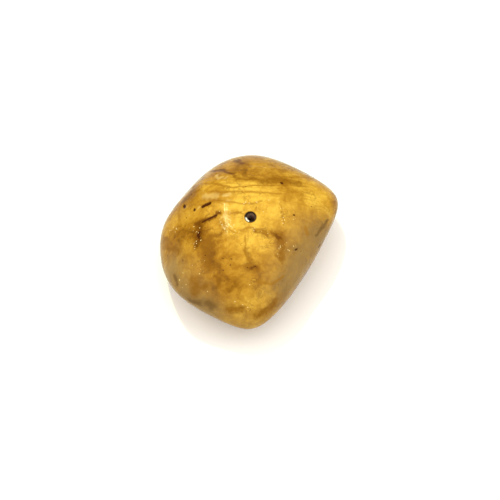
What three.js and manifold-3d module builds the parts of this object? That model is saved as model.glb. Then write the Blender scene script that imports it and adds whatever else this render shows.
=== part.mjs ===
// A tumbled and polished pebble of yellow jasper, drilled through its crown for a cord.
// It is one piece of stone. Millimetres, +Z up, with the origin under the middle of its box.
import * as THREE from 'three';
import { mergeVertices } from 'three/addons/utils/BufferGeometryUtils.js';
import Module from 'manifold-3d';

const wasm = await Module();
wasm.setup();

// Driving dimensions
const CORE_HEIGHT = 8.5;          // height of the point that the worn faces are measured from
const EDGE_CRISPNESS = 11;        // how sharply two worn faces meet: higher is sharper
const SKIN_DETAIL = 18;           // splits of each edge of the starting icosahedron
const BORE_MOUTH = { x: 0.5, y: -1.2, z: 21.9 };
const BORE_LEAN = { azimuth: -84, elevation: 71 };
const BORE_SIDES = 28;
const BORE_STEPS = 12;            // rings along the long bore
const MOUTH_BORE = { radius: 1.2, depth: 0.8 };
const MAIN_BORE = { radius: 0.95, offset: { x: 0.17, y: 0.17 } };
const DRILL_CLEARANCE = 3;        // how far the drill starts outside the stone
const DRILL_LENGTH = 36;

// The faces that tumbling wore on the stone. Azimuth 0 is +X and 90 is +Y, elevation 90 is
// straight up, and the distance is from the core point to the face.
const WORN_FACES = [
  { name: 'crown', azimuth: -95, elevation: 78, distance: 13.5 },
  { name: 'front slope', azimuth: -95, elevation: 42, distance: 17.4 },
  { name: 'left slope', azimuth: -176, elevation: 48, distance: 16.4 },
  { name: 'right slope', azimuth: 15, elevation: 66, distance: 15.2 },
  { name: 'back slope', azimuth: 102, elevation: 63, distance: 16.2 },
  { name: 'right flank', azimuth: -36, elevation: 30, distance: 16.4 },
  { name: 'right end', azimuth: -11, elevation: -6, distance: 21.8 },
  { name: 'right corner', azimuth: 4, elevation: -3, distance: 24.1 },
  { name: 'back right side', azimuth: 56, elevation: 25, distance: 20.8 },
  { name: 'back end', azimuth: 74, elevation: 29, distance: 22.9 },
  { name: 'back left shoulder', azimuth: 112, elevation: 28, distance: 20.2 },
  { name: 'back left side', azimuth: 142, elevation: 20, distance: 18.4 },
  { name: 'left end', azimuth: 177, elevation: 3, distance: 20.8 },
  { name: 'left belly', azimuth: -160, elevation: -11, distance: 21.8 },
  { name: 'front left side', azimuth: -125, elevation: -26, distance: 18.1 },
  { name: 'front tip', azimuth: -88, elevation: -30, distance: 26.4 },
  { name: 'front tip shoulder', azimuth: -48, elevation: -23, distance: 16.8 },
  { name: 'front right side', azimuth: -29, elevation: -16, distance: 14.6 },
  { name: 'foot', azimuth: 10, elevation: -87, distance: 8.75 },
  { name: 'back of the belly', azimuth: 95, elevation: -38, distance: 17.6 },
  { name: 'left of the belly', azimuth: 165, elevation: -46, distance: 15.6 },
  { name: 'right of the belly', azimuth: 5, elevation: -52, distance: 14.4 },
  { name: 'front of the belly', azimuth: -105, elevation: -60, distance: 13.2 },
];

// Long shallow swells that keep the worn faces from being dead flat. Each runs in rings
// round its own axis, and its phase is in radians.
const SWELLS = [
  { azimuth: 20, elevation: 35, rings: 1.6, phase: 0.4, height: 0.12 },
  { azimuth: 140, elevation: 10, rings: 2.0, phase: 1.9, height: 0.10 },
  { azimuth: -70, elevation: 50, rings: 1.8, phase: 4.1, height: 0.10 },
  { azimuth: 80, elevation: -30, rings: 2.6, phase: 2.6, height: 0.10 },
];

function direction({ azimuth, elevation }) {
  const a = THREE.MathUtils.degToRad(azimuth);
  const e = THREE.MathUtils.degToRad(elevation);
  return new THREE.Vector3(Math.cos(a) * Math.cos(e), Math.sin(a) * Math.cos(e), Math.sin(e));
}

const faces = WORN_FACES.map((face) => ({ normal: direction(face), distance: face.distance }));
const swells = SWELLS.map((swell) => ({ axis: direction(swell), ...swell }));

// Distance from the core point to the skin. Where one face is nearest it sets the distance,
// and where two are equally near their edge comes out rounded. The belly stops at the ground,
// which leaves the small worn flat that the stone rests on.
function skinDistance(way) {
  let sum = 0;
  for (const face of faces) {
    const nearness = Math.max(0, way.dot(face.normal)) / face.distance;
    sum += nearness ** EDGE_CRISPNESS;
  }
  let distance = sum ** (-1 / EDGE_CRISPNESS);
  for (const swell of swells) {
    const turn = Math.PI * swell.rings * way.dot(swell.axis) + swell.phase;
    distance += swell.height * Math.sin(turn);
  }
  const toGround = way.z < 0 ? CORE_HEIGHT / -way.z : Infinity;
  return Math.min(distance, toGround);
}

function toSolid(geometry) {
  geometry.deleteAttribute('normal');
  geometry.deleteAttribute('uv');
  const merged = mergeVertices(geometry);
  return new wasm.Manifold(new wasm.Mesh({
    numProp: 3,
    vertProperties: new Float32Array(merged.attributes.position.array),
    triVerts: new Uint32Array(merged.index.array),
  }));
}

function toGeometry(solid) {
  const { vertProperties, triVerts } = solid.getMesh();
  const geometry = new THREE.BufferGeometry();
  geometry.setAttribute('position', new THREE.BufferAttribute(vertProperties, 3));
  geometry.setIndex(new THREE.BufferAttribute(triVerts, 1));
  geometry.computeVertexNormals();
  return geometry;
}

// The tumbled pebble before drilling: a fine ball whose skin is pushed out to the worn faces.
function tumbledStone() {
  const ball = new THREE.IcosahedronGeometry(1, SKIN_DETAIL);
  const position = ball.attributes.position;
  const way = new THREE.Vector3();
  for (let i = 0; i < position.count; i += 1) {
    way.fromBufferAttribute(position, i).normalize();
    way.multiplyScalar(skinDistance(way));
    position.setXYZ(i, way.x, way.y, way.z + CORE_HEIGHT);
  }
  return toSolid(ball);
}

// A straight cut on the bore's line. Depth 0 is the mouth, and depth grows into the stone.
function drillCut(startDepth, endDepth, radius, steps = 1, offset = { x: 0, y: 0 }) {
  const length = endDepth - startDepth;
  const cut = new THREE.CylinderGeometry(radius, radius, length, BORE_SIDES, steps);
  const outward = direction(BORE_LEAN);
  const turn = new THREE.Quaternion().setFromUnitVectors(new THREE.Vector3(0, 1, 0), outward);
  cut.applyQuaternion(turn);
  const middle = (startDepth + endDepth) / 2;
  cut.translate(
    BORE_MOUTH.x + offset.x - outward.x * middle,
    BORE_MOUTH.y + offset.y - outward.y * middle,
    BORE_MOUTH.z - outward.z * middle,
  );
  return toSolid(cut);
}

// The hole was drilled from both sides. The two bores meet just under the mouth and miss
// each other a little, which leaves a crescent ledge.
function drilledStone() {
  const mouthBore = drillCut(-DRILL_CLEARANCE, MOUTH_BORE.depth, MOUTH_BORE.radius);
  const mainBore = drillCut(0, DRILL_LENGTH, MAIN_BORE.radius, BORE_STEPS, MAIN_BORE.offset);
  return tumbledStone().subtract(mouthBore).subtract(mainBore);
}

const pebble = new THREE.Mesh(
  toGeometry(drilledStone()),
  new THREE.MeshStandardMaterial({ color: 0xc8912f, roughness: 0.22, metalness: 0 }),
);
pebble.name = 'pebble';

// The origin goes under the middle of the stone's box, on the ground.
pebble.geometry.computeBoundingBox();
const middle = pebble.geometry.boundingBox.getCenter(new THREE.Vector3());
pebble.geometry.translate(-middle.x, -middle.y, -pebble.geometry.boundingBox.min.z);

const stone = new THREE.Group();
stone.add(pebble);

export default stone;
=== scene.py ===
import math

import bmesh
import bpy
import numpy as np
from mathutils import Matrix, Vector
from mathutils import noise as noise_tools
from mathutils.bvhtree import BVHTree


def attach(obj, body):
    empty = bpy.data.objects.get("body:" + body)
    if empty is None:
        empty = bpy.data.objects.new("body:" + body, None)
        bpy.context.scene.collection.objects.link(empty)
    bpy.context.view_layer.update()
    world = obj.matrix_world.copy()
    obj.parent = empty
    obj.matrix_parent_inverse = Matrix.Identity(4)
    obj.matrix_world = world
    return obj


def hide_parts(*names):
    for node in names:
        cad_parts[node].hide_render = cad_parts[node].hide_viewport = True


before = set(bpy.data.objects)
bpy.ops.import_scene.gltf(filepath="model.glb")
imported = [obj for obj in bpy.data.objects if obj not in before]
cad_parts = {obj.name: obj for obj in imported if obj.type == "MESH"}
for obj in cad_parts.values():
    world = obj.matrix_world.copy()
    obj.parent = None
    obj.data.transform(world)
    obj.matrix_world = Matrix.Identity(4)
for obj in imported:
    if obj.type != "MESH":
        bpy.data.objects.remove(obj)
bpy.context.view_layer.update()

# The camera
# It looks down on the stone from the front at sixty degrees, from a third of a metre away,
# and the stone fills the middle third of a square picture.
MM = 0.001
LOOK_DOWN = math.radians(60)
LOOK_FROM = 320 * MM
LENS_MM = 102.1
SENSOR_MM = 36.0

# The middle of the stone, and where the camera aims, counted from there.
CORE = Vector((-0.31, -0.16, 8.5)) * MM
AIM_OFF_CORE = Vector((0.41, -1.37, -0.79)) * MM

toward_camera = Vector((0, -math.cos(LOOK_DOWN), math.sin(LOOK_DOWN)))
camera_data = bpy.data.cameras.new("camera")
camera_data.lens = LENS_MM
camera_data.sensor_width = SENSOR_MM
camera = bpy.data.objects.new("camera", camera_data)
bpy.context.scene.collection.objects.link(camera)
camera.location = CORE + toward_camera * LOOK_FROM
look = CORE + AIM_OFF_CORE - camera.location
camera.rotation_mode = "QUATERNION"
camera.rotation_quaternion = look.to_track_quat("-Z", "Y")
bpy.context.scene.camera = camera

# The floor
# A wide sheet of matt white card, lit so well that only the shadow close under the stone
# shows. A faint glow of its own keeps the white even.
FLOOR_WIDTH = 8.0
FLOOR_WHITE = (0.86, 0.87, 0.89, 1)
FLOOR_ROUGHNESS = 0.9
FLOOR_SHINE = 0.1
FLOOR_GLOW = 0.05
GLOW_WARM = (1, 0.97, 0.94, 1)

floor_mesh = bpy.data.meshes.new("floor")
half = FLOOR_WIDTH / 2
floor_mesh.from_pydata([(-half, -half, 0), (half, -half, 0), (half, half, 0), (-half, half, 0)],
                       [], [(0, 1, 2, 3)])
floor = bpy.data.objects.new("floor", floor_mesh)
bpy.context.scene.collection.objects.link(floor)
card = bpy.data.materials.new("white_card")
card.use_nodes = True
card_shader = card.node_tree.nodes["Principled BSDF"]
card_shader.inputs["Base Color"].default_value = FLOOR_WHITE
card_shader.inputs["Roughness"].default_value = FLOOR_ROUGHNESS
card_shader.inputs["Specular IOR Level"].default_value = FLOOR_SHINE
card_shader.inputs["Emission Color"].default_value = GLOW_WARM
card_shader.inputs["Emission Strength"].default_value = FLOOR_GLOW
floor_mesh.materials.append(card)

# The light
# A warm studio dome, bright overhead and dim at its edge and behind the stone, and one small
# lamp high up behind it, whose reflection is the highlight left of the drilled hole.
SKY_TOP = 2.42
SKY_EDGE = 0.30
SKY_RISE = (0.25, 0.95)
SKY_BEHIND = 0.60
SKY_BEHIND_FADE = (0.85, 0.10)
SKY_WARM = (1, 0.95, 0.86, 1)
LAMP_TURN = math.radians(123)
LAMP_RISE = math.radians(71.5)
LAMP_REACH = 1.0
LAMP_SIZE = 0.038
LAMP_POWER = 3.8
LAMP_YELLOW = (0.80, 1.0, 0.56)


def add_node(tree, kind, links=None, **settings):
    """Adds a node to a tree. A link is a socket to join or a value to set."""
    made = tree.nodes.new(kind)
    for name, value in settings.items():
        setattr(made, name, value)
    for socket, value in (links or {}).items():
        if isinstance(value, bpy.types.NodeSocket):
            tree.links.new(value, made.inputs[socket])
        else:
            made.inputs[socket].default_value = value
    return made


def maths(tree, operation, first, second=0.0):
    """One sum on two values, each a socket or a number."""
    return add_node(tree, "ShaderNodeMath", {0: first, 1: second}, operation=operation).outputs[0]


def product(tree, first, *others):
    """Several values multiplied together."""
    for other in others:
        first = maths(tree, "MULTIPLY", first, other)
    return first


def total(tree, first, *others):
    """Several values added together."""
    for other in others:
        first = maths(tree, "ADD", first, other)
    return first


def stretch(tree, value, low, high, out_low=0.0, out_high=1.0):
    """A smooth step from out_low to out_high as value goes from low to high."""
    made = add_node(tree, "ShaderNodeMapRange",
                    {"Value": value, "From Min": low, "From Max": high,
                     "To Min": out_low, "To Max": out_high},
                    interpolation_type="SMOOTHSTEP")
    return made.outputs["Result"]


def way_at(turn, rise):
    """A direction, turned so far round from the right and rising so far off the floor."""
    return Vector((math.cos(turn) * math.cos(rise),
                   math.sin(turn) * math.cos(rise),
                   math.sin(rise)))


world = bpy.data.worlds.new("studio")
bpy.context.scene.world = world
world.use_nodes = True
sky = world.node_tree
sky_way = add_node(sky, "ShaderNodeTexCoord").outputs["Generated"]
sky_split = add_node(sky, "ShaderNodeSeparateXYZ", {0: sky_way})
by_height = stretch(sky, sky_split.outputs["Z"], *SKY_RISE, SKY_EDGE, SKY_TOP)
by_side = stretch(sky, sky_split.outputs["Y"], *SKY_BEHIND_FADE, SKY_BEHIND, 1.0)
background = sky.nodes["Background"]
background.inputs["Color"].default_value = SKY_WARM
sky.links.new(product(sky, by_height, by_side), background.inputs["Strength"])

lamp_data = bpy.data.lights.new("lamp", "AREA")
lamp_data.shape = "DISK"
lamp_data.size = LAMP_SIZE
lamp_data.energy = LAMP_POWER
lamp_data.color = LAMP_YELLOW
lamp = bpy.data.objects.new("lamp", lamp_data)
bpy.context.scene.collection.objects.link(lamp)
toward_lamp = way_at(LAMP_TURN, LAMP_RISE)
lamp.location = CORE + toward_lamp * LAMP_REACH
lamp.rotation_mode = "QUATERNION"
lamp.rotation_quaternion = (-toward_lamp).to_track_quat("-Z", "Y")
bpy.context.scene.view_settings.view_transform = "Standard"

# The stone
# One pebble of yellow jasper, tumbled round, polished to a wet gloss, and drilled through
# its crown. The tumbling left pits, cracks and the ends of its bedding standing open.

# The skin is a copy of the solid, refined twice, with the hole's edges kept sharp.
SAME_POINT = 0.001 * MM
SHARP_EDGE = math.radians(35)
SKIN_ROUNDS = 2


def apply_modifiers(piece, name):
    """A plain object with the finished mesh of another, which it takes the place of."""
    shape = piece.evaluated_get(bpy.context.evaluated_depsgraph_get())
    mesh = bpy.data.meshes.new_from_object(shape)
    made = bpy.data.objects.new(name, mesh)
    bpy.context.scene.collection.objects.link(made)
    bpy.data.objects.remove(piece)
    return made


def skin_of(node):
    """A finer, rounder copy of a solid's mesh, whose sharp edges stay sharp."""
    mesh = node.data.copy()
    mesh.materials.clear()
    work = bmesh.new()
    work.from_mesh(mesh)
    bmesh.ops.remove_doubles(work, verts=work.verts, dist=SAME_POINT)
    crease = work.edges.layers.float.new("crease_edge")
    for edge in work.edges:
        if edge.calc_face_angle(0.0) > SHARP_EDGE:
            edge[crease] = 1.0
    for face in work.faces:
        face.smooth = True
    work.to_mesh(mesh)
    work.free()
    piece = bpy.data.objects.new("skin", mesh)
    bpy.context.scene.collection.objects.link(piece)
    finer = piece.modifiers.new("finer", "SUBSURF")
    finer.levels = SKIN_ROUNDS
    finer.render_levels = SKIN_ROUNDS
    return apply_modifiers(piece, "pebble_skin")


def read_points(items, value):
    """Three numbers for each item of a mesh, such as its points' places, as an array."""
    values = np.empty(len(items) * 3, np.float32)
    items.foreach_get(value, values)
    return values.reshape(-1, 3).astype(float)


stone = skin_of(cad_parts["pebble"])
skin_points = read_points(stone.data.vertices, "co")
skin_normals = read_points(stone.data.vertex_normals, "vector")
skin_tree = BVHTree.FromObject(stone, bpy.context.evaluated_depsgraph_get())

# The picture's width, and the spacing of points along a path drawn over it, in pixels.
PICTURE_SIZE = 500
PATH_STEP = 0.8


def on_stone(pixel):
    """The place on the stone that a pixel of the picture shows."""
    pixels_to_plane = LENS_MM / SENSOR_MM * PICTURE_SIZE
    across = (pixel[0] - PICTURE_SIZE / 2) / pixels_to_plane
    up = (PICTURE_SIZE / 2 - pixel[1]) / pixels_to_plane
    way = camera.rotation_quaternion @ Vector((across, up, -1))
    return skin_tree.ray_cast(camera.location, way.normalized())[0]


def along_stone(pixels):
    """Places on the stone, closely spaced, along a path drawn over the picture."""
    places = []
    for first, last in zip(pixels, pixels[1:] or pixels):
        count = max(1, math.ceil(math.dist(first, last) / PATH_STEP))
        for i in range(count + 1):
            t = i / count
            here = (first[0] + (last[0] - first[0]) * t, first[1] + (last[1] - first[1]) * t)
            place = on_stone(here)
            if place is not None:
                places.append(place)
    return np.array([tuple(place) for place in places]).reshape(-1, 3)


# Marks wander over the skin, as far as reach, with a change of direction every spacing. The
# noise is given a seed, because without one it is different on every run.
WANDERS = [
    {"reach": 0.60 * MM, "spacing": 2.2 * MM},
    {"reach": 0.34 * MM, "spacing": 0.8 * MM},
]
WANDER_SEED = 3
noise_tools.seed_set(WANDER_SEED)


def wandered(points, normals):
    """The points, each pushed a little its own way over the skin, so that marks wander."""
    push = np.zeros_like(points)
    for wander in WANDERS:
        for i, point in enumerate(points):
            way = noise_tools.noise_vector(Vector(point) / wander["spacing"])
            push[i] += np.array(way) * wander["reach"]
    out_of_skin = np.sum(push * normals, axis=1)
    return points + push - normals * out_of_skin[:, None]


wandered_points = wandered(skin_points, skin_normals)


def distance_to(places, points):
    """How far each point is from the nearest of some places."""
    nearest = np.full(len(points), np.inf)
    for place in places:
        away = np.linalg.norm(points - place, axis=1)
        np.minimum(nearest, away, out=nearest)
    return nearest


# Soft clouds of colour. Tone runs from -1, iron brown, to 1, egg-yolk yellow, grey is dull skin, and the
# size is in millimetres. The grey clouds on the edges and flanks are partly painted shade, and the one
# on the top edge is partly a painted sheen.
CLOUDS = [
    {"name": "bright crown", "at": (262, 212), "size": 7.5, "tone": 0.75, "grey": 0.0},
    {"name": "bright band above the hole", "at": (245, 196), "size": 4.0, "tone": 1.0, "grey": 0.0},
    {"name": "bright right lobe", "at": (311, 197), "size": 4.5, "tone": 0.90, "grey": 0.0},
    {"name": "bright right cell", "at": (278, 214), "size": 3.5, "tone": 0.35, "grey": 0.0},
    {"name": "bright front cell", "at": (257, 243), "size": 4.0, "tone": 0.30, "grey": 0.0},
    {"name": "bright left front cell", "at": (236, 243), "size": 4.5, "tone": 0.70, "grey": 0.0},
    {"name": "yellow stripe left", "at": (196, 217), "size": 3.0, "tone": 0.25, "grey": 0.0},
    {"name": "brown left cheek", "at": (173, 238), "size": 5.0, "tone": -0.50, "grey": 0.0},
    {"name": "brown under the seam", "at": (198, 233), "size": 2.7, "tone": -0.80, "grey": 0.0},
    {"name": "brown column", "at": (206, 254), "size": 2.3, "tone": -0.75, "grey": 0.0},
    {"name": "brown front left", "at": (214, 285), "size": 5.0, "tone": -0.45, "grey": 0.0},
    {"name": "yellow left front", "at": (194, 265), "size": 3.0, "tone": 0.25, "grey": 0.1},
    {"name": "brown front right", "at": (256, 267), "size": 3.0, "tone": -0.50, "grey": 0.0},
    {"name": "brown right cell", "at": (282, 244), "size": 3.0, "tone": -0.60, "grey": 0.0},
    {"name": "amber front", "at": (228, 262), "size": 4.0, "tone": -0.75, "grey": 0.0},
    {"name": "amber tip", "at": (246, 318), "size": 5.0, "tone": 0.75, "grey": 0.1},
    {"name": "brown near the tip", "at": (232, 309), "size": 3.2, "tone": -0.45, "grey": 0.1},
    {"name": "dull and shaded left edge", "at": (172, 268), "size": 4.0, "tone": -0.20, "grey": 0.75},
    {"name": "dull and shaded lower left", "at": (186, 292), "size": 4.5, "tone": -0.45, "grey": 0.80},
    {"name": "dull and shaded lower edge", "at": (208, 309), "size": 4.0, "tone": -0.40, "grey": 0.65},
    {"name": "dull and shaded right flank", "at": (300, 264), "size": 6.5, "tone": -0.30, "grey": 0.85},
    {"name": "dull and shaded lower right flank", "at": (281, 290), "size": 4.5, "tone": -0.25, "grey": 0.55},
    {"name": "dull and shaded right edge", "at": (322, 234), "size": 4.5, "tone": -0.55, "grey": 0.70},
    {"name": "amber right", "at": (303, 229), "size": 4.0, "tone": -0.35, "grey": 0.20},
    {"name": "top edge with painted sheen and shade", "at": (290, 165), "size": 5.5, "tone": -0.05, "grey": 0.45},
    {"name": "amber top", "at": (250, 166), "size": 6.0, "tone": -0.25, "grey": 0.10},
    {"name": "brown and shaded upper left edge", "at": (188, 197), "size": 3.6, "tone": -0.75, "grey": 0.05},
    {"name": "brown band upper left", "at": (212, 172), "size": 2.6, "tone": -0.45, "grey": 0.0},
    {"name": "brown above the right pit", "at": (280, 181), "size": 2.8, "tone": -0.45, "grey": 0.0},
]

# Marks drawn over the picture. Width is half the mark's width and dent its depth, both in millimetres.
# The kinds are stain, a brown vein, smudge, a soft brown haze, hair, a thin brown line, dark, an open
# pit or slot whose near black is partly painted shade, cream, a pale chip, and shade, dark olive marks
# near the edges.
MARKS = [
    {"name": "top blotch", "kind": "stain", "path": [(236, 161), (243, 163)], "width": 0.75,
     "dent": 0.0},
    {"name": "top blotch tail", "kind": "smudge", "path": [(243, 163), (249, 165)], "width": 0.45,
     "dent": 0.0},
    {"name": "top spot", "kind": "stain", "path": [(237.8, 159.8), (239.5, 161.8)], "width": 0.50,
     "dent": 0.02},
    {"name": "upper left streak", "kind": "stain", "path": [(211, 171), (222, 170.5), (232, 173.5)],
     "width": 0.50, "dent": 0.0},
    {"name": "upper streak end", "kind": "smudge", "path": [(232, 173.5), (237, 178), (262, 180)],
     "width": 0.50, "dent": 0.0},
    {"name": "chip", "kind": "cream", "path": [(216, 174.5), (218, 178), (222.5, 176.5)],
     "width": 0.38, "dent": 0.10},
    {"name": "small chip", "kind": "cream", "path": [(225, 178.5), (228, 176.5)], "width": 0.25,
     "dent": 0.08},
    {"name": "top hair", "kind": "hair", "path": [(245, 175.5), (254.7, 173.8)], "width": 0.22,
     "dent": 0.03},
    {"name": "bedding hair high", "kind": "hair",
     "path": [(202, 183.8), (212.4, 183.2), (231.5, 187), (262, 185), (287, 185), (307, 186.2)],
     "width": 0.26, "dent": 0.06},
    {"name": "bedding hair low", "kind": "hair",
     "path": [(209, 191.3), (217, 191.3), (240, 191.5), (265.5, 192.3), (281, 193.5)],
     "width": 0.26, "dent": 0.06},
    {"name": "bedding hair right", "kind": "hair", "path": [(283, 176.2), (300, 176.8), (308, 178)],
     "width": 0.30, "dent": 0.04},
    {"name": "hair over the hole", "kind": "hair",
     "path": [(210, 202), (222, 200), (238, 203), (254, 204), (262, 201)], "width": 0.20, "dent": 0.02},
    {"name": "hair left of the hole", "kind": "hair", "path": [(229, 214), (239, 212), (244, 214)],
     "width": 0.20, "dent": 0.02},
    {"name": "back haze", "kind": "smudge", "path": [(263, 181), (275, 179), (290, 181)], "width": 1.10,
     "dent": 0.0},
    {"name": "back haze right", "kind": "smudge", "path": [(292, 183.5), (300, 183)], "width": 0.70,
     "dent": 0.0},
    {"name": "back pit", "kind": "dark", "path": [(281.9, 182.8)], "width": 0.36, "dent": 0.14},
    {"name": "pale patch", "kind": "cream", "path": [(205, 196), (216, 196)], "width": 0.80,
     "dent": 0.0},
    {"name": "pale patch right", "kind": "cream", "path": [(224, 194.5), (230, 194.5)], "width": 0.42,
     "dent": 0.0},
    {"name": "slot", "kind": "dark", "path": [(202.3, 206.4), (205, 205), (209.6, 203)], "width": 0.36,
     "dent": 0.22},
    {"name": "pit by the slot", "kind": "dark", "path": [(194.2, 209.7)], "width": 0.36, "dent": 0.14},
    {"name": "chip by the slot", "kind": "cream", "path": [(197.5, 208), (199, 206.5)], "width": 0.26,
     "dent": 0.05},
    {"name": "left pit", "kind": "dark", "path": [(183.8, 205.6), (184.5, 207)], "width": 0.38,
     "dent": 0.14},
    {"name": "upper left pit", "kind": "dark", "path": [(192.6, 187.4), (194, 186)], "width": 0.30,
     "dent": 0.15},
    {"name": "seam", "kind": "stain",
     "path": [(218.5, 213), (213.5, 216.3), (205.8, 220.2), (196, 224.8)], "width": 0.55, "dent": 0.10},
    {"name": "seam heart", "kind": "dark", "path": [(216.5, 215), (209, 218.3), (202, 222)],
     "width": 0.20, "dent": 0.0},
    {"name": "seam down", "kind": "stain",
     "path": [(199, 225), (199.4, 230), (198.4, 236.1), (197, 243)], "width": 0.85, "dent": 0.08},
    {"name": "seam pit", "kind": "dark", "path": [(199, 232), (197.5, 235), (198.8, 237.2)],
     "width": 0.30, "dent": 0.12},
    {"name": "hook", "kind": "smudge", "path": [(219, 236), (211, 235), (207.5, 239), (212, 241.5)],
     "width": 0.60, "dent": 0.03},
    {"name": "column", "kind": "smudge",
     "path": [(208, 241.4), (205.5, 248), (206, 256), (207.3, 260.5), (211, 267)], "width": 0.85,
     "dent": 0.04},
    {"name": "column spot", "kind": "dark", "path": [(205, 255.2)], "width": 0.16, "dent": 0.08},
    {"name": "crack glint high", "kind": "hair", "path": [(278.8, 203), (282, 209)], "width": 0.14,
     "dent": -0.07},
    {"name": "crack glint low", "kind": "hair", "path": [(281.2, 212.3), (283.5, 219.5), (283, 225)],
     "width": 0.14, "dent": -0.07},
    {"name": "right pit", "kind": "dark", "path": [(294.2, 214.8)], "width": 0.24, "dent": 0.15},
    {"name": "crown line", "kind": "hair",
     "path": [(241, 230), (249, 227.5), (256.7, 229), (262.1, 229.9), (269, 233.3)], "width": 0.30,
     "dent": 0.10},
    {"name": "crown line shade", "kind": "smudge", "path": [(255, 230.5), (261, 232.5), (266, 234.5)],
     "width": 0.45, "dent": 0.0},
    {"name": "crown line left", "kind": "hair", "path": [(228.3, 229.5), (234.5, 232.4)], "width": 0.17,
     "dent": -0.06},
    {"name": "centre crack", "kind": "hair",
     "path": [(245.6, 236.7), (245.0, 246), (244.9, 255), (249, 260)], "width": 0.22, "dent": 0.02},
    {"name": "centre crack shade", "kind": "smudge", "path": [(246.5, 251), (250.5, 261)], "width": 0.80,
     "dent": 0.0},
    {"name": "front spot", "kind": "smudge", "path": [(248, 265.5), (257, 266)], "width": 0.95,
     "dent": 0.02},
    {"name": "front spot middle", "kind": "stain", "path": [(252, 267), (256.5, 266)], "width": 0.30,
     "dent": 0.02},
    {"name": "front spot heart", "kind": "dark", "path": [(253.5, 267), (255.8, 266)], "width": 0.10,
     "dent": 0.05},
    {"name": "front line", "kind": "hair", "path": [(233, 268.5), (244, 265), (250, 266)], "width": 0.26,
     "dent": 0.0},
    {"name": "right cell top", "kind": "smudge", "path": [(276, 234), (282, 235), (282, 241)],
     "width": 0.95, "dent": 0.03},
    {"name": "right cell heart", "kind": "stain", "path": [(276.5, 236), (280, 238.5)], "width": 0.55,
     "dent": 0.0},
    {"name": "right cell side", "kind": "smudge", "path": [(282.5, 241), (284, 249), (281, 259)],
     "width": 0.80, "dent": 0.03},
    {"name": "right cell foot", "kind": "smudge", "path": [(275, 256.5), (284, 259)], "width": 0.50,
     "dent": 0.05},
    {"name": "right cell spot", "kind": "dark", "path": [(295.8, 249.8), (297.4, 249)], "width": 0.20,
     "dent": 0.15},
    {"name": "right smudge", "kind": "hair", "path": [(305.5, 227), (307.5, 234)], "width": 0.45,
     "dent": 0.0},
    {"name": "right edge streak", "kind": "shade",
     "path": [(327.7, 219.7), (324.4, 225.7), (316.5, 235)], "width": 0.36, "dent": 0.0},
    {"name": "right edge spot", "kind": "dark", "path": [(318.6, 247.4), (320.4, 244.5)], "width": 0.16,
     "dent": 0.08},
    {"name": "flank curve", "kind": "hair",
     "path": [(258, 281), (266, 283.3), (273, 283.6), (280.5, 278.5), (284, 276)], "width": 0.30,
     "dent": 0.0},
    {"name": "tip streak", "kind": "smudge",
     "path": [(256, 315.6), (265.5, 311.5), (272, 305.7), (275.5, 299.7)], "width": 0.85, "dent": 0.03},
    {"name": "front curve", "kind": "smudge", "path": [(214.5, 275.8), (218.8, 279.6), (218.5, 286)],
     "width": 0.45, "dent": 0.0},
    {"name": "front patch", "kind": "smudge", "path": [(229, 290), (236, 285), (236, 282)],
     "width": 0.85, "dent": 0.0},
    {"name": "low left patch", "kind": "smudge", "path": [(194, 279), (195, 286), (195.5, 292)],
     "width": 1.15, "dent": 0.0},
    {"name": "low left spot", "kind": "smudge", "path": [(201, 288), (206, 287)], "width": 0.70,
     "dent": 0.0},
    {"name": "low edge spots", "kind": "shade", "path": [(191, 300.5), (198, 303)], "width": 1.00,
     "dent": 0.02},
    {"name": "low edge patch", "kind": "shade", "path": [(207, 303.5), (212, 306)], "width": 0.95,
     "dent": 0.0},
    {"name": "tip patch", "kind": "smudge", "path": [(229, 309), (240, 310)], "width": 0.90,
     "dent": 0.0},
    {"name": "left streak", "kind": "shade", "path": [(174, 276.5), (176, 282.2), (176.9, 286)],
     "width": 0.50, "dent": 0.04},
    {"name": "left cheek patch", "kind": "smudge", "path": [(168, 247), (178, 252)], "width": 0.80,
     "dent": 0.0},
]

# Single dark specks, and small patches of grains that stand proud and catch the lamp, which are also
# painted pale cream as glints.
SPECKS = [
    (226.4, 254.1), (230.3, 258.9), (222.6, 260.2), (229.9, 265.6), (224.2, 280.4), (182.4, 241.4),
    (183, 260.5), (288.2, 210.3), (277.5, 177.1), (185.9, 217.6), (187.5, 234), (167.5, 256.5),
    (241, 168.5), (251, 164.5), (268, 163), (211, 168), (300, 251), (222.5, 271),
]
BEADS = [
    (193.6, 226.5), (190.1, 228.8), (196.8, 232.6), (195.8, 241.2), (192.6, 243.8), (173.2, 227.8),
    (170.3, 230.4), (174.1, 232.3), (219.9, 210.3), (204.7, 260.5), (188.8, 264.3), (181.8, 274.2),
    (178.9, 282.2), (182.4, 286.7), (187.5, 285.4), (199, 272), (202.2, 270.4), (221.6, 301),
    (235.7, 302.6), (242.4, 304.5), (250.3, 306.4), (245.6, 307.7), (208.6, 293.4), (248.4, 285.4),
    (180.5, 207.4), (189.1, 213.5), (202.8, 192.1), (245.4, 203.2), (258.4, 203.6), (269.1, 198.6),
    (312.7, 203.6), (294.4, 216.6), (279.8, 184.4), (286.2, 243.4), (294.9, 246.1), (286.9, 249.4),
    (290.2, 250), (276.5, 256.5), (284.2, 256.8), (281.5, 248), (264.5, 212.5), (191.8, 269.5),
    (279, 203.5), (280.3, 207), (281.6, 211.5), (282.6, 215.5), (283.4, 219.5), (283.2, 223),
    (229, 230), (233.5, 232), (237, 229.8), (243.5, 228.4), (254, 229.5), (262, 230.6), (267, 232.6),
    (198.5, 229), (194.5, 231.5), (199.2, 238.5), (195.6, 246.5), (192.4, 248.6), (176, 229.5),
]
SPECK_WIDTH = 0.15
SPECK_DENT = 0.05
SPECK_DARKNESS = 0.8
BEAD_PATCH = 0.42

# The kinds that wander less than the rest, and by what share of it.
WANDER_SHARES = {"dark": 0.0, "hair": 0.35, "cream": 0.6}


def softened(distance, width):
    """1 on a mark's own line, half at its half width, and next to nothing at twice that."""
    return 0.5 ** ((distance / width) ** 2)


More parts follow.
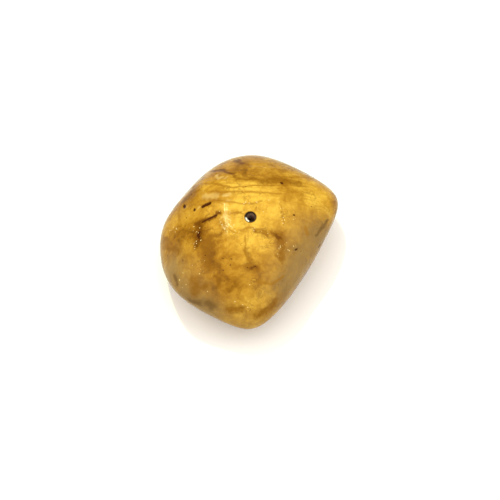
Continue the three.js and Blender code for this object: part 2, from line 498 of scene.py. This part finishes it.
# What the marks leave on each point of the skin: a field for each kind, and a dent.
FIELDS = ("stain", "smudge", "hair", "dark", "cream", "shade", "bead", "tone", "grey")
fields = {kind: np.zeros(len(skin_points)) for kind in FIELDS}
dent = np.zeros(len(skin_points))

for cloud in CLOUDS:
    reach = distance_to(along_stone([cloud["at"]]), wandered_points) / (cloud["size"] * MM)
    weight = np.exp(-reach ** 2)
    fields["tone"] += cloud["tone"] * weight
    fields["grey"] += cloud["grey"] * weight
for mark in MARKS:
    share = WANDER_SHARES.get(mark["kind"], 1.0)
    points = skin_points + (wandered_points - skin_points) * share
    shape = softened(distance_to(along_stone(mark["path"]), points), mark["width"] * MM)
    np.maximum(fields[mark["kind"]], shape, out=fields[mark["kind"]])
    dent += mark["dent"] * MM * shape ** 2 * (3 - 2 * shape)
for spot in SPECKS:
    shape = softened(distance_to(along_stone([spot]), wandered_points), SPECK_WIDTH * MM)
    np.maximum(fields["dark"], shape * SPECK_DARKNESS, out=fields["dark"])
    dent += SPECK_DENT * MM * shape
for spot in BEADS:
    shape = softened(distance_to(along_stone([spot]), wandered_points), BEAD_PATCH * MM)
    np.maximum(fields["bead"], shape, out=fields["bead"])

# Painted shade: a soft olive-brown band along the stone's outline as the camera sees it, strongest where
# the skin is edge-on to the camera, and left out at the front of the stone. It darkens the outline as
# shade would, and goes into the same field as the dark olive marks.
PAINTED_SHADE_SHARE = 0.8
PAINTED_SHADE_MIDDLE = 0.02
PAINTED_SHADE_WIDTH = 0.24
PAINTED_SHADE_FRONT_END = -0.75
PAINTED_SHADE_FADE = 0.50
facing_camera = skin_normals @ np.array(toward_camera)
painted_shade_belt = np.exp(-((facing_camera - PAINTED_SHADE_MIDDLE) / PAINTED_SHADE_WIDTH) ** 2)
off_front = np.clip((skin_normals[:, 1] - PAINTED_SHADE_FRONT_END) / PAINTED_SHADE_FADE, 0, 1)
np.maximum(fields["shade"], painted_shade_belt * off_front * PAINTED_SHADE_SHARE, out=fields["shade"])

# The drilled hole: where it comes out, how it leans, how wide its mouth is, and how deep the ledge lies,
# with a highlight painted on it. Its fields tell the wall, the rim, the painted ledge highlight and the
# deep apart.
BORE_MOUTH = CORE + Vector((0.5, -1.2, 13.4)) * MM
BORE_TURN = math.radians(-84)
BORE_RISE = math.radians(71)
MOUTH_RADIUS = 1.2 * MM
BORE_REACH = 1.03 * MOUTH_RADIUS
LEDGE_DEPTH = 0.8 * MM
LEDGE_HEIGHT = 0.05 * MM
RIM_WIDTH = 0.22 * MM
LEDGE_GLINT_TURN = math.radians(-158)
LEDGE_GLINT_SPREAD = math.radians(26)
BORE_SHADE = 1.2 * MM

bore_way = np.array(way_at(BORE_TURN, BORE_RISE))
from_mouth = skin_points - np.array(BORE_MOUTH)
depth_in_bore = -(from_mouth @ bore_way)
off_axis = np.linalg.norm(from_mouth + np.outer(depth_in_bore, bore_way), axis=1)
near_bore = off_axis < BORE_REACH
top_half = skin_points[:, 2] > CORE.z
on_ledge = near_bore & (np.abs(depth_in_bore - LEDGE_DEPTH) < LEDGE_HEIGHT)
round_bore = np.arctan2(from_mouth[:, 1], from_mouth[:, 0])
away_from_glint = np.abs(np.angle(np.exp(1j * (round_bore - LEDGE_GLINT_TURN))))
fields["bore"] = near_bore.astype(float)
fields["rim"] = softened(np.abs(off_axis - MOUTH_RADIUS), RIM_WIDTH) * top_half
fields["painted_ledge_glint"] = on_ledge * np.clip(2 - away_from_glint / LEDGE_GLINT_SPREAD, 0, 1)
fields["deep"] = near_bore * np.clip((depth_in_bore - LEDGE_DEPTH) / BORE_SHADE, 0, 1)
dent[near_bore] = 0.0

for name, values in fields.items():
    attribute = stone.data.attributes.new(name, "FLOAT", "POINT")
    attribute.data.foreach_set("value", values.astype(np.float32))
moved = skin_points - skin_normals * dent[:, None]
stone.data.vertices.foreach_set("co", moved.astype(np.float32).ravel())
stone.data.update()

# The tumbled skin
# Tumbling left faint swells, open pits in crowds, and shallow grooves where the softer beds of
# the back half wore down. One rule makes them all round, but not in the hole or on the foot.

# Patterns are measured in millimetres. A range holds the values that one fades in between.
SWELL_DETAIL = 2.0
GROOVE_SQUASH = (0.10, 1.0, 0.12)
GROOVES = {"Scale": 0.9, "Detail": 3.0}
GROOVE_RANGE = (0.52, 0.60)
GROOVES_START = (-1.0, 5.0)
PIT_CROWDS = {"Scale": 0.16, "Detail": 1.0}
CROWD_RANGE = (0.42, 0.62)
FOOT_FADE = (0.02, 1.0)
SKIN = {
    "Swell Height": 0.06 * MM,
    "Swell Spacing": 3.0,
    "Groove Depth": 0.05 * MM,
    "Pits Per Square Metre": 110000.0,
    "Pit Gap": 1.1 * MM,
    "Pit Radius": 0.36 * MM,
    "Pit Depth": 0.10 * MM,
    "Seed": 7,
}


def in_millimetres(tree, place):
    """A place in millimetres, from one in metres."""
    return add_node(tree, "ShaderNodeVectorMath", {0: place, 3: 1 / MM}, operation="SCALE").outputs[0]


def noise(tree, place, pattern):
    """The value of a noise pattern at a place."""
    return add_node(tree, "ShaderNodeTexNoise", {"Vector": place, **pattern}).outputs[0]


def skin_tree_for(material):
    """The rule that wears the skin: it moves each point inwards and gives it the material."""
    tree = bpy.data.node_groups.new("tumbled_skin", "GeometryNodeTree")
    sockets = tree.interface
    sockets.new_socket("Geometry", in_out="INPUT", socket_type="NodeSocketGeometry")
    for name, value in SKIN.items():
        kind = "NodeSocketInt" if name == "Seed" else "NodeSocketFloat"
        sockets.new_socket(name, in_out="INPUT", socket_type=kind).default_value = value
    sockets.new_socket("Geometry", in_out="OUTPUT", socket_type="NodeSocketGeometry")
    given = tree.nodes.new("NodeGroupInput").outputs
    place = in_millimetres(tree, add_node(tree, "GeometryNodeInputPosition").outputs[0])
    along = add_node(tree, "ShaderNodeSeparateXYZ", {0: place}).outputs

    spacing = maths(tree, "DIVIDE", 1.0, given["Swell Spacing"])
    swell = noise(tree, place, {"Scale": spacing, "Detail": SWELL_DETAIL})
    swell_drop = product(tree, swell, given["Swell Height"])

    squashed = add_node(tree, "ShaderNodeVectorMath", {0: place, 1: GROOVE_SQUASH},
                        operation="MULTIPLY").outputs[0]
    groove = stretch(tree, noise(tree, squashed, GROOVES), *GROOVE_RANGE)
    back_half = stretch(tree, along["Y"], *GROOVES_START)
    groove_drop = product(tree, groove, back_half, given["Groove Depth"])

    crowd = stretch(tree, noise(tree, place, PIT_CROWDS), *CROWD_RANGE)
    pits = add_node(tree, "GeometryNodeDistributePointsOnFaces",
                    {"Mesh": given["Geometry"], "Distance Min": given["Pit Gap"],
                     "Density Max": given["Pits Per Square Metre"], "Density Factor": crowd,
                     "Seed": given["Seed"]},
                    distribute_method="POISSON")
    near = add_node(tree, "GeometryNodeProximity", {0: pits.outputs["Points"]}, target_element="POINTS")
    reach = maths(tree, "DIVIDE", near.outputs["Distance"], given["Pit Radius"])
    pit = stretch(tree, reach, 1.0, 0.0)
    pit_drop = product(tree, pit, given["Pit Depth"])

    in_bore = add_node(tree, "GeometryNodeInputNamedAttribute", {"Name": "bore"}, data_type="FLOAT")
    off_bore = maths(tree, "SUBTRACT", 1.0, in_bore.outputs[0])
    off_foot = stretch(tree, along["Z"], *FOOT_FADE)
    drop = total(tree, swell_drop, groove_drop, pit_drop)
    inward = product(tree, drop, off_bore, off_foot, -1.0)
    normal = add_node(tree, "GeometryNodeInputNormal").outputs[0]
    offset = add_node(tree, "ShaderNodeVectorMath", {0: normal, 3: inward}, operation="SCALE")
    worn = add_node(tree, "GeometryNodeSetPosition",
                    {"Geometry": given["Geometry"], "Offset": offset.outputs[0]})
    kept = add_node(tree, "GeometryNodeStoreNamedAttribute",
                    {"Geometry": worn.outputs[0], "Name": "pit", "Value": pit},
                    data_type="FLOAT", domain="POINT")
    real = add_node(tree, "GeometryNodeRealizeInstances", {0: kept.outputs[0]})
    painted = add_node(tree, "GeometryNodeSetMaterial",
                       {"Geometry": real.outputs[0], "Material": material})
    result = tree.nodes.new("NodeGroupOutput")
    tree.links.new(painted.outputs[0], result.inputs[0])
    return tree


# The polished jasper
# Egg-yolk yellow silica, clouded with ochre and iron brown, with thin bedding lines, a net of healed
# cracks, brown veins and dark pits under a wet polish. Shade on the edges, flanks, pits and hole, and
# glints on the grains and the hole's ledge, are painted in as well.
IRON_BROWN = (0.170, 0.065, 0.004, 1)
OCHRE = (0.310, 0.138, 0.009, 1)
YELLOW = (0.450, 0.232, 0.022, 1)
YOLK = (0.630, 0.375, 0.048, 1)
VEIN_BROWN = (0.115, 0.038, 0.002, 1)
VEIN_HALO = (0.200, 0.080, 0.004, 1)
HAIR_BROWN = (0.270, 0.115, 0.006, 1)
PIT_DARK = (0.055, 0.013, 0.001, 1)
DULL_AND_SHADED_SKIN = (0.272, 0.176, 0.066, 1)
SHADE_OLIVE = (0.105, 0.051, 0.013, 1)
PALE_CHIP = (0.600, 0.400, 0.125, 1)
# The dark wall above the ledge and the brown rim round the mouth are painted shade of the hole.
BORE_WALL = (0.045, 0.030, 0.018, 1)
BORE_DEEP = (0.650, 0.500, 0.400, 1)
RIM_BROWN = (0.150, 0.062, 0.004, 1)
LEDGE_GLINT_WHITE = (0.950, 0.930, 0.850, 1)
PAINTED_GLINT_CREAM = (0.860, 0.640, 0.260, 1)

# A coarse and a fine grain, which roughen the layers below. Down the stone's sides, from the first of
# these heights to the second, its skin turns satin and darker, and the darkening is painted shade.
GRAIN = {"Scale": 1.6, "Detail": 4.0, "Roughness": 0.65}
FINE_GRAIN = {"Scale": 5.0, "Detail": 3.0, "Roughness": 0.6}
LOW_SIDES = (15.0, 7.0)


def blend(tree, share, first, second):
    """A colour between two others, by a share from 0 to 1."""
    return add_node(tree, "ShaderNodeMix", {0: share, 6: first, 7: second},
                    data_type="RGBA").outputs[2]


def field(tree, name):
    """A field that the points of the skin hold, such as that of a kind of mark."""
    return add_node(tree, "ShaderNodeAttribute", attribute_name=name,
                    attribute_type="GEOMETRY").outputs["Fac"]


def swing(tree, pattern, amount):
    """How far a noise pattern is off its middle, times an amount."""
    return product(tree, maths(tree, "SUBTRACT", pattern, 0.5), amount)


def ragged(tree, value, grain, between, amount):
    """A mark's field with its edge broken up by grain."""
    return stretch(tree, total(tree, value, swing(tree, grain, amount)), *between)


# The body runs from iron brown to yolk. Each push is how far something moves it along there.
SWIRLS = {"Scale": 0.22, "Detail": 5.0, "Roughness": 0.58, "Distortion": 0.6}
MOTTLES = {"Scale": 0.75, "Detail": 3.0, "Roughness": 0.6, "Distortion": 0.8}
BODY_MIDDLE = 0.50
CLOUD_PUSH = 0.42
SWIRL_PUSH = 1.5
GRAIN_PUSH = 0.28
MOTTLE_PUSH = 0.76
OCHRE_AT = 0.33
YELLOW_AT = 0.62


def body_colour(tree, place, grain):
    """Brown, ochre and yellow, in the drawn clouds and in swirls and mottling all through."""
    clouds = product(tree, field(tree, "tone"), CLOUD_PUSH)
    swirls = swing(tree, noise(tree, place, SWIRLS), SWIRL_PUSH)
    mottles = swing(tree, noise(tree, place, MOTTLES), MOTTLE_PUSH)
    spread = total(tree, swirls, swing(tree, grain, GRAIN_PUSH), mottles)
    ramp = add_node(tree, "ShaderNodeValToRGB", {0: total(tree, clouds, spread, BODY_MIDDLE)})
    stops = ramp.color_ramp.elements
    stops[0].color = IRON_BROWN
    stops[1].color = YOLK
    stops.new(OCHRE_AT).color = OCHRE
    stops.new(YELLOW_AT).color = YELLOW
    return ramp.outputs["Color"]


BEDS = {"Scale": 1.3, "Detail": 5.0, "Roughness": 0.62, "Distortion": 0.4}
BED_SQUASH = (0.09, 1.0, 0.10)
BED_RANGE = (0.52, 0.66)
BEDS_START = (0.5, 6.0)
BED_SHARE = 0.45


def bedding(tree, colour, place, along):
    """Thin brown lines over the back half, where the beds come out at the skin."""
    squashed = add_node(tree, "ShaderNodeMapping", {"Vector": place, "Scale": BED_SQUASH}).outputs[0]
    line = stretch(tree, noise(tree, squashed, BEDS), *BED_RANGE)
    back_half = stretch(tree, along["Y"], *BEDS_START)
    return blend(tree, product(tree, line, back_half, BED_SHARE), colour, HAIR_BROWN)


# Noise bends the lines of the cracks and the veins, and both show only in patches.
WARP = {"Scale": 0.45, "Detail": 2.0}
WARP_REACH = (2.2, 2.2, 2.2)
NET_SCALE = 0.24
NET_WIDTH = 0.055
NET_PATCHES = {"Scale": 0.35, "Detail": 2.0}
NET_PATCH_RANGE = (0.40, 0.62)
NET_SHARE = 0.24
VEINS = {"Scale": 0.30, "Detail": 5.0, "Roughness": 0.6, "Distortion": 0.3}
VEIN_WIDTH = 0.035
VEIN_PATCHES = {"Scale": 0.17, "Detail": 2.0}
VEIN_PATCH_RANGE = (0.46, 0.66)
VEIN_SHARE = 0.6


def cracks_and_veins(tree, colour, place):
    """A net of healed cracks, and over it brown veins."""
    warp = add_node(tree, "ShaderNodeTexNoise", {"Vector": place, **WARP}).outputs["Color"]
    bent = add_node(tree, "ShaderNodeVectorMath", {0: warp, 1: WARP_REACH, 2: place},
                    operation="MULTIPLY_ADD").outputs[0]
    net = add_node(tree, "ShaderNodeTexVoronoi", {"Vector": bent, "Scale": NET_SCALE},
                   feature="DISTANCE_TO_EDGE").outputs["Distance"]
    net_line = stretch(tree, net, NET_WIDTH, 0.0)
    net_patch = stretch(tree, noise(tree, place, NET_PATCHES), *NET_PATCH_RANGE)
    colour = blend(tree, product(tree, net_line, net_patch, NET_SHARE), colour, HAIR_BROWN)

    off_vein = maths(tree, "ABSOLUTE", swing(tree, noise(tree, bent, VEINS), 1.0))
    vein_line = stretch(tree, off_vein, VEIN_WIDTH, 0.0)
    vein_patch = stretch(tree, noise(tree, place, VEIN_PATCHES), *VEIN_PATCH_RANGE)
    return blend(tree, product(tree, vein_line, vein_patch, VEIN_SHARE), colour, VEIN_BROWN)


LOW_DULL_AND_SHADE = 0.55
DULL_SHADE_RANGE = (0.25, 0.65)
DULL_SHADE_PATCHES = (0.55, 1.0)
DULL_SHADE_MOST = 0.85


def dull_and_shaded_skin(tree, colour, grain, low):
    """Dull grey-brown skin, where the drawn clouds are grey and low on the sides; on the edges, flanks
    and lower sides it is partly painted shade.
    """
    dull = total(tree, field(tree, "grey"), product(tree, low, LOW_DULL_AND_SHADE))
    patchy = stretch(tree, grain, *DULL_SHADE_RANGE, *DULL_SHADE_PATCHES)
    share = maths(tree, "MINIMUM", product(tree, dull, patchy), DULL_SHADE_MOST)
    return blend(tree, share, colour, DULL_AND_SHADED_SKIN)


# The layers of the drawn marks, the lowest first.
MARK_LAYERS = [
    # The shade layer lays both the dark olive marks and the painted shade band along the outline.
    {"kind": "shade", "colour": SHADE_OLIVE, "between": (0.00, 1.15), "ragged": 0.9, "share": 0.75},
    {"kind": "smudge", "colour": VEIN_HALO, "between": (0.00, 1.40), "ragged": 1.6, "share": 1.00},
    {"kind": "stain", "colour": VEIN_HALO, "between": (0.00, 0.80), "ragged": 0.9, "share": 0.70},
    {"kind": "stain", "colour": VEIN_BROWN, "between": (0.25, 1.15), "ragged": 1.2, "share": 0.95},
    {"kind": "hair", "colour": HAIR_BROWN, "between": (0.05, 1.05), "ragged": 0.6, "share": 0.65},
    {"kind": "cream", "colour": PALE_CHIP, "between": (0.10, 1.05), "ragged": 0.9, "share": 0.55},
]


def drawn_marks(tree, colour, grain):
    """The drawn marks, each kind in its own colour."""
    for layer in MARK_LAYERS:
        shape = ragged(tree, field(tree, layer["kind"]), grain, layer["between"], layer["ragged"])
        colour = blend(tree, product(tree, shape, layer["share"]), colour, layer["colour"])
    return colour


FLECK_SCALE = 0.8
FLECK_EDGE = (0.16, 0.06)
FLECK_PATCHES = {"Scale": 0.5, "Detail": 1.0}
FLECK_PATCH_RANGE = (0.60, 0.66)
PIT_RANGE = (0.25, 1.0)
PIT_SHARE = 0.45
DARK_RANGE = (0.25, 0.75)
DARK_RAGGED = 0.70


def flecks_and_pits(tree, colour, place, fine):
    """Rare dark flecks, then the brown pits of the tumbling, then the drawn open pits; the brown and
    near black of the pits are partly painted shade in the hollows.
    """
    flecks = add_node(tree, "ShaderNodeTexVoronoi", {"Vector": place, "Scale": FLECK_SCALE},
                      feature="F1").outputs["Distance"]
    fleck_patch = stretch(tree, noise(tree, place, FLECK_PATCHES), *FLECK_PATCH_RANGE)
    fleck = product(tree, stretch(tree, flecks, *FLECK_EDGE), fleck_patch)
    colour = blend(tree, fleck, colour, PIT_DARK)
    pit = product(tree, stretch(tree, field(tree, "pit"), *PIT_RANGE), PIT_SHARE)
    colour = blend(tree, pit, colour, VEIN_BROWN)
    dark = ragged(tree, field(tree, "dark"), fine, DARK_RANGE, DARK_RAGGED)
    return blend(tree, dark, colour, PIT_DARK)


BEAD_SCALE = 1.9
BEAD_EDGE = (0.34, 0.16)
BEAD_RANGE = (0.30, 0.70)
PAINTED_GLINT_SHARE = 0.80


def raised_grains_with_painted_glints(tree, place):
    """Where the small round grains of the drawn bead patches are, which stand proud and get a painted
    glint.
    """
    cells = add_node(tree, "ShaderNodeTexVoronoi", {"Vector": place, "Scale": BEAD_SCALE},
                     feature="F1").outputs["Distance"]
    return product(tree, stretch(tree, field(tree, "bead"), *BEAD_RANGE),
                   stretch(tree, cells, *BEAD_EDGE))


RIM_RANGE = (0.45, 0.85)
BORE_RANGE = (0.45, 0.55)
LEDGE_GLINT_RANGE = (0.35, 0.65)


def drilled_hole(tree, colour, in_bore):
    """The brown rim of the hole and its wall, dark above, both painted shade at the hole's mouth, the
    wall pale deep down, and a highlight painted white on the ledge.
    """
    colour = blend(tree, stretch(tree, field(tree, "rim"), *RIM_RANGE), colour, RIM_BROWN)
    wall = blend(tree, field(tree, "deep"), BORE_WALL, BORE_DEEP)
    colour = blend(tree, in_bore, colour, wall)
    return blend(tree, stretch(tree, field(tree, "painted_ledge_glint"), *LEDGE_GLINT_RANGE), colour, LEDGE_GLINT_WHITE)


# The roughness of the wet polish, and how much rougher the hole and the low sides are.
POLISH_RANGE = (0.3, 0.7)
POLISH_ROUGHNESS = (0.06, 0.11)
BORE_SATIN = 0.42
LOW_SATIN = 0.15


def polish(tree, grain, in_bore, low):
    """The roughness of the skin."""
    wet = stretch(tree, grain, *POLISH_RANGE, *POLISH_ROUGHNESS)
    satin = maths(tree, "MAXIMUM", product(tree, in_bore, BORE_SATIN), product(tree, low, LOW_SATIN))
    return total(tree, wet, satin)


PEEL = {"Scale": 1.1, "Detail": 3.0, "Roughness": 0.55}
PEEL_BUMP = {"Strength": 0.55, "Distance": 0.08 * MM}
FINE_BUMP = {"Strength": 0.25, "Distance": 0.03 * MM}
BEAD_BUMP = {"Strength": 0.8, "Distance": 0.10 * MM}


def relief(tree, place, fine, bead):
    """Relief too fine for the mesh: the polish's orange peel, the fine grain, and the beads."""
    peel = noise(tree, place, PEEL)
    normal = add_node(tree, "ShaderNodeBump", {"Height": peel, **PEEL_BUMP}).outputs[0]
    for height, settings in ((fine, FINE_BUMP), (bead, BEAD_BUMP)):
        normal = add_node(tree, "ShaderNodeBump",
                          {"Height": height, "Normal": normal, **settings}).outputs[0]
    return normal


# How the stone takes the light: a faint reflection, and a little glow just under the skin.
STONE_LOOK = {
    "Specular IOR Level": 0.040,
    "Subsurface Weight": 0.03,
    "Subsurface Radius": (1.0, 0.45, 0.10),
    "Subsurface Scale": 1.2 * MM,
}


def polished_jasper():
    """The stone's material, one layer over the other."""
    jasper = bpy.data.materials.new("polished_jasper")
    jasper.use_nodes = True
    tree = jasper.node_tree
    shader = tree.nodes["Principled BSDF"]
    place = in_millimetres(tree, add_node(tree, "ShaderNodeTexCoord").outputs["Object"])
    along = add_node(tree, "ShaderNodeSeparateXYZ", {0: place}).outputs
    low = stretch(tree, along["Z"], *LOW_SIDES)
    grain = noise(tree, place, GRAIN)
    fine = noise(tree, place, FINE_GRAIN)
    bead = raised_grains_with_painted_glints(tree, place)
    in_bore = stretch(tree, field(tree, "bore"), *BORE_RANGE)

    colour = body_colour(tree, place, grain)
    colour = bedding(tree, colour, place, along)
    colour = cracks_and_veins(tree, colour, place)
    colour = dull_and_shaded_skin(tree, colour, grain, low)
    colour = drawn_marks(tree, colour, grain)
    colour = flecks_and_pits(tree, colour, place, fine)
    # The pale cream on the bead grains is a painted glint.
    colour = blend(tree, product(tree, bead, PAINTED_GLINT_SHARE), colour, PAINTED_GLINT_CREAM)
    colour = drilled_hole(tree, colour, in_bore)
    tree.links.new(colour, shader.inputs["Base Color"])
    tree.links.new(polish(tree, grain, in_bore, low), shader.inputs["Roughness"])
    tree.links.new(relief(tree, place, fine, bead), shader.inputs["Normal"])
    for name, value in STONE_LOOK.items():
        shader.inputs[name].default_value = value
    return jasper


tumbling = stone.modifiers.new("tumbling", "NODES")
tumbling.node_group = skin_tree_for(polished_jasper())
for item in tumbling.node_group.interface.items_tree:
    if item.in_out == "INPUT" and item.name in SKIN:
        tumbling[item.identifier] = SKIN[item.name]
pebble = apply_modifiers(stone, "jasper_pebble")
for face in pebble.data.polygons:
    face.use_smooth = True

CRISP_ANGLE = math.radians(40)


def sharpen_bore(mesh):
    """Keeps the rims of the drilled hole crisp."""
    bore = mesh.attributes["bore"].data
    work = bmesh.new()
    work.from_mesh(mesh)
    for edge in work.edges:
        by_bore = all(bore[end.index].value > 0.5 for end in edge.verts)
        edge.smooth = not (by_bore and edge.calc_face_angle(0.0) > CRISP_ANGLE)
    work.to_mesh(mesh)
    work.free()


sharpen_bore(pebble.data)
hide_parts("pebble")
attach(pebble, "root")
